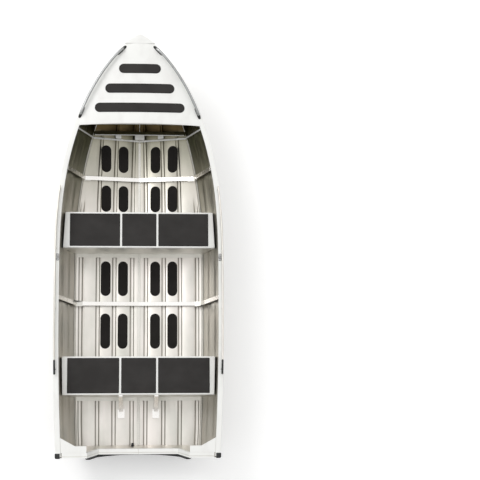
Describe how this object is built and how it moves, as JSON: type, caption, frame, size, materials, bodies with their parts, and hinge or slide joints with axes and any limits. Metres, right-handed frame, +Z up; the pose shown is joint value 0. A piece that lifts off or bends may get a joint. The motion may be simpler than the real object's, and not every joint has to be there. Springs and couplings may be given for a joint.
{
  "type": "aluminium rowing boat",
  "caption": "Open pressed aluminium rowing boat with pointed bow, small foredeck, two padded bench seats, hand rails and a raked transom with a motor cut-out.",
  "frame": {"origin": "on the floor under the middle of the boat's length and beam, at the underside of the keel bar", "axes": "+Y to the bow, +X to starboard, +Z up"},
  "size_m": [1.46, 3.67, 0.7046],
  "materials": {
    "hull": "mill finish sheet, bare",
    "transom": "satin black paint on aluminium",
    "white": "satin white powder coat on aluminium",
    "foam": "closed cell foam sheet, brushed top",
    "black_plastic": "moulded, fine grain",
    "steel": "stainless, satin"
  },
  "bodies": {
    "root": {"bottom_port": "hull", "bottom_starboard": "hull", "side_port": "hull", "side_starboard": "hull", "keel_bar": "hull", "transom_plate": "transom", "transom_cap": "white", "transom_doublers": "transom", "motor_pad": "black_plastic", "transom_knee_port": "white", "transom_knee_starboard": "white", "corner_cap_port": "black_plastic", "corner_cap_starboard": "black_plastic", "drain_bung": "black_plastic", "gunwale_port": "white", "gunwale_starboard": "white", "bow_cap": "white", "bow_eye": "steel", "foredeck": "white", "deck_beam": "white", "deck_strips": "foam", "deck_sill": "hull", "deck_frame": "hull", "forward_frame": "white", "middle_frame": "white", "forward_seat": "white", "forward_seat_frame": "hull", "forward_seat_pads": "foam", "aft_seat": "white", "aft_seat_frame": "hull", "aft_seat_pads": "foam", "seat_stay_port": "white", "seat_stay_starboard": "white", "floor_pads": "foam", "bow_rail_port": "white", "bow_rail_starboard": "white", "bow_rail_feet_port": "black_plastic", "bow_rail_feet_starboard": "black_plastic", "side_rail_port": "white", "side_rail_starboard": "white", "side_rail_grip_port": "black_plastic", "side_rail_grip_starboard": "black_plastic", "rowlock_socket_port": "steel", "rowlock_socket_starboard": "steel"}
  },
  "joints": []
}
